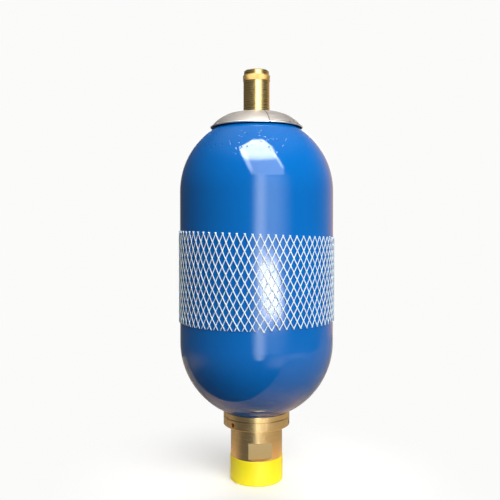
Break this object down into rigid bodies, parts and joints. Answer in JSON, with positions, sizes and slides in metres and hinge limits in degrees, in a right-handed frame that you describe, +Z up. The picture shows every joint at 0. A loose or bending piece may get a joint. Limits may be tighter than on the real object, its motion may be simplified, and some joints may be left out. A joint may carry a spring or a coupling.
{
  "type": "hydraulic accumulator",
  "caption": "Bladder accumulator: an upright steel pressure vessel with a capped gas valve above, a spring-held oil valve below and a mesh sleeve round its body.",
  "frame": {"origin": "bottom centre of the transport cap, on the ground and on the vessel's axis", "axes": "+Z up the vessel's axis from the oil port to the gas valve; -Y is the front, which one spanner flat of the port body faces; +X to the right seen from the front"},
  "size_m": [0.155, 0.155, 0.4073],
  "materials": {
    "shell_paint": "gloss blue paint over forged steel",
    "net_plastic": "extruded polyethylene mesh",
    "plate_aluminium": "satin pressed sheet",
    "cap_brass": "bright turned",
    "plated_steel": "turned and yellow zinc plated",
    "cap_plastic": "moulded polyethylene",
    "bladder_rubber": "moulded",
    "seal_rubber": "moulded",
    "turned_steel": "turned",
    "spring_steel": "drawn wire",
    "valve_brass": "turned",
    "backup_plastic": "turned"
  },
  "bodies": {
    "vessel": {"shell": "shell_paint", "net_sleeve": "net_plastic", "nameplate_ring": "plate_aluminium", "port_body": "plated_steel", "ring_nut": "plated_steel", "spacer_ring": "plated_steel", "thread_cap": "cap_plastic", "bladder": "bladder_rubber", "bladder_stem": "turned_steel", "stem_lock_nut": "turned_steel", "stem_o_ring": "seal_rubber", "charging_valve_body": "valve_brass", "charging_valve_spring": "spring_steel", "charging_valve_retainer": "valve_brass", "poppet_spring": "spring_steel", "support_half_rings": "turned_steel", "support_ring_rubber": "seal_rubber", "steel_washer": "turned_steel", "port_o_ring": "seal_rubber", "backup_ring": "backup_plastic"},
    "gas_cap": {"gas_valve_cap": "cap_brass"},
    "valve_pin": {"charging_valve_pin": "turned_steel", "charging_valve_seal": "seal_rubber"},
    "oil_valve": {"poppet": "turned_steel", "damping_bush": "valve_brass", "poppet_lock_nut": "turned_steel"}
  },
  "joints": [
    {"name": "gas_cap_lift", "type": "slide", "parent": "vessel", "child": "gas_cap", "axis": [0, 0, 1], "range_m": [0, 0.045]},
    {"name": "valve_pin_press", "type": "slide", "parent": "vessel", "child": "valve_pin", "axis": [0, 0, -1], "range_m": [0, 0.003], "stiffness_N_per_m": 2800, "springref_m": -0.002, "deforming": ["charging_valve_spring"]},
    {"name": "poppet_close", "type": "slide", "parent": "vessel", "child": "oil_valve", "axis": [0, 0, -1], "range_m": [0, 0.009], "stiffness_N_per_m": 4000, "springref_m": -0.005, "deforming": ["poppet_spring"]}
  ]
}
